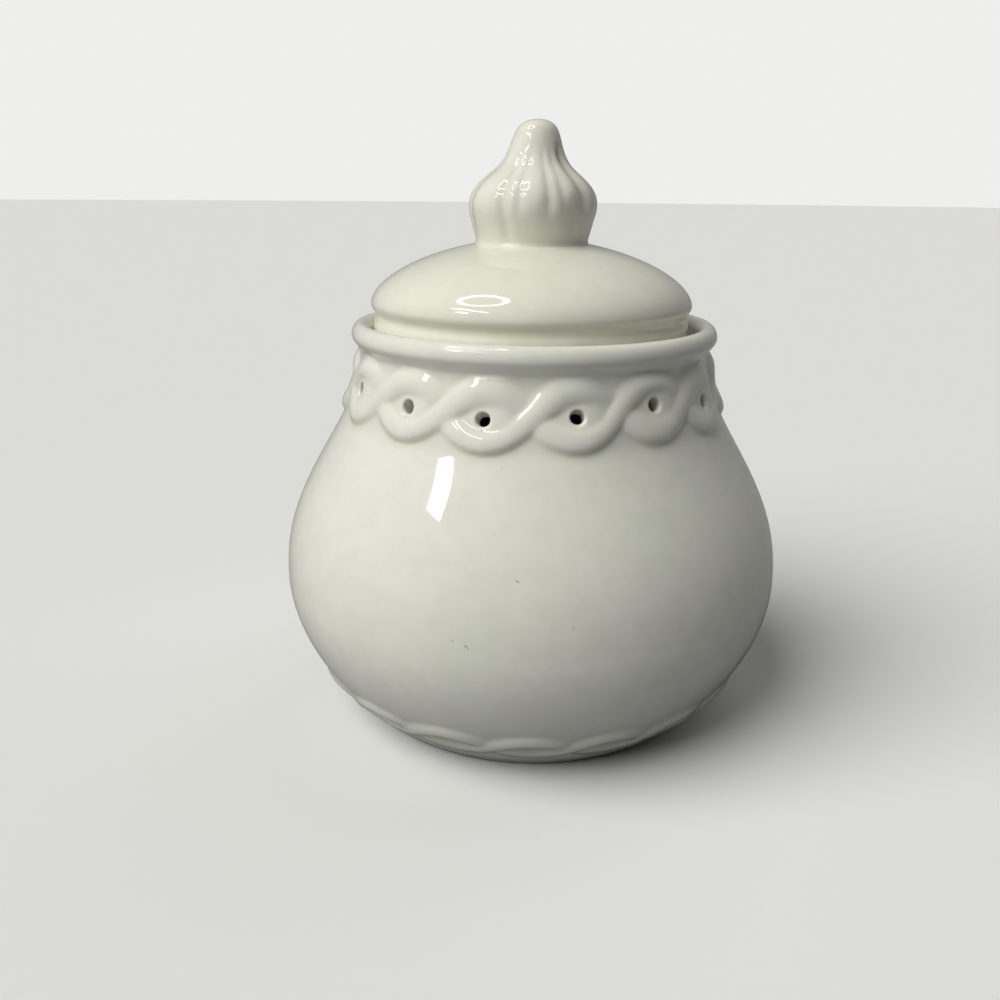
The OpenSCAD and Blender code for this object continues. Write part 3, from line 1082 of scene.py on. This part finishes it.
# bright parts of the photograph's window, as the glaze shows them: corners across and up, at 1 m distance
WINDOW_PANES = [
    [(-0.05, -0.05), (0.09, -0.05), (0.09, 0.06), (-0.05, 0.06)],
    [(-0.20, 0.14), (0.30, 0.14), (0.24, 0.21), (-0.14, 0.21)],
]

# the photograph's camera, fitted to the jar: degrees that it looks down and rolls, its place and its lens
CAMERA_PITCH = 18.127
CAMERA_ROLL = 0.487
CAMERA_PLACE = Vector((-9.47, -283.32, 153.68))
CAMERA_LENS = 34.2
CAMERA_SENSOR = 36


def direction(az, el):
    """Unit vector towards a light at azimuth az from the front, towards the right, and elevation el."""
    a, e = math.radians(az), math.radians(el)
    return Vector((math.sin(a) * math.cos(e), -math.cos(a) * math.cos(e), math.sin(e)))


def sun(name, az, el, strength, spread):
    """A soft lamp far away that doesn't show in the glaze."""
    data = bpy.data.lights.new(name, "SUN")
    data.energy = strength
    data.angle = math.radians(spread)
    data.color = (1.0, 1.0, 0.97)
    lamp = add_object(name, data)
    lamp.rotation_euler = direction(az, el).to_track_quat("Z", "Y").to_euler()
    lamp.visible_glossy = False


def glowing(name, outline, faces, az, el, far, strength):
    """A lamp that shows only in the glaze, as a shape: points across and up its own plane, facing AIM."""
    mesh = bpy.data.meshes.new(name)
    mesh.from_pydata([(x, y, 0) for x, y in outline], [], faces)
    obj = add_object(name, mesh)
    toward = direction(az, el)
    facing = toward.to_track_quat("Z", "Y").to_matrix().to_4x4()
    obj.matrix_world = Matrix.Translation(AIM + toward * far) @ facing
    material = bpy.data.materials.new(name)
    material.use_nodes = True
    tree = material.node_tree
    tree.nodes.clear()
    glow = tree.nodes.new("ShaderNodeEmission")
    glow.inputs["Strength"].default_value = strength
    out = tree.nodes.new("ShaderNodeOutputMaterial")
    tree.links.new(glow.outputs[0], out.inputs["Surface"])
    mesh.materials.append(material)
    obj.visible_camera = False
    obj.visible_diffuse = False
    obj.visible_shadow = False


def ring_lamp(az, el, far, spread, thick, strength):
    """A ring of light that spans spread degrees to each side of its middle, and is thick metres wide."""
    n = 64
    outer = far * math.tan(math.radians(spread))
    outline = circle(outer - thick, n) + circle(outer, n)
    faces = [(i, (i + 1) % n, n + (i + 1) % n, n + i) for i in range(n)]
    glowing("ring_lamp", outline, faces, az, el, far, strength)


def window_lamp(az, el, far, strength):
    """The window's bright panes, far metres away."""
    outline = [(far * x, far * y) for pane in WINDOW_PANES for x, y in pane]
    faces = [tuple(range(4 * i, 4 * i + 4)) for i in range(len(WINDOW_PANES))]
    glowing("window_lamp", outline, faces, az, el, far, strength)


def build_lights():
    """The room's even light, two soft lamps, and the ring and the window that show in the glaze."""
    build_world(shown=0.86, in_gloss=0.28, ambient=0.04)
    sun("key", az=-59, el=46, strength=3.0, spread=52)
    sun("back", az=135, el=45, strength=0.5, spread=60)
    ring_lamp(az=-76, el=68, far=1.4, spread=12.4, thick=0.075, strength=9)
    window_lamp(az=-57, el=35.5, far=1.6, strength=9)


def build_camera():
    """The photograph's own view, from 0.28 m in front of the jar's axis."""
    pitch, roll = math.radians(CAMERA_PITCH), math.radians(CAMERA_ROLL)
    level_right = Vector((1, 0, 0))
    level_up = Vector((0, math.sin(pitch), math.cos(pitch)))
    ahead = Vector((0, math.cos(pitch), -math.sin(pitch)))
    right = math.cos(roll) * level_right + math.sin(roll) * level_up
    up = -math.sin(roll) * level_right + math.cos(roll) * level_up
    data = bpy.data.cameras.new("camera")
    data.sensor_width = CAMERA_SENSOR
    data.lens = CAMERA_LENS
    data.clip_start = 0.01
    camera = add_object("camera", data)
    turned = Matrix((right, up, -ahead)).transposed().to_4x4()
    camera.matrix_world = Matrix.Translation(CAMERA_PLACE * MM) @ turned
    bpy.context.scene.camera = camera


# ---------------------------------------------------------------- everything together
jar = build_jar()
jar.data.materials.append(glaze(
    "jar_glaze", srgb(236, 237, 224), srgb(240, 239, 228), srgb(214, 216, 194), scuffs=SCUFFS
))
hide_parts("jar", "shoulder_rope", "foot_rope")
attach(jar, "jar")

lid = build_lid()
lid.data.materials.append(glaze(
    "lid_glaze", srgb(238, 239, 222), srgb(241, 240, 226), srgb(214, 217, 192)
))
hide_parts("lid")
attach(lid, "lid")

knob = build_knob()
knob.data.materials.append(glaze(
    "knob_glaze", srgb(238, 238, 224), srgb(242, 240, 228), srgb(208, 211, 186)
))
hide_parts("garlic_knob")
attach(knob, "lid")

build_floor()
build_lights()
build_camera()
bpy.context.scene.view_settings.view_transform = "Standard"
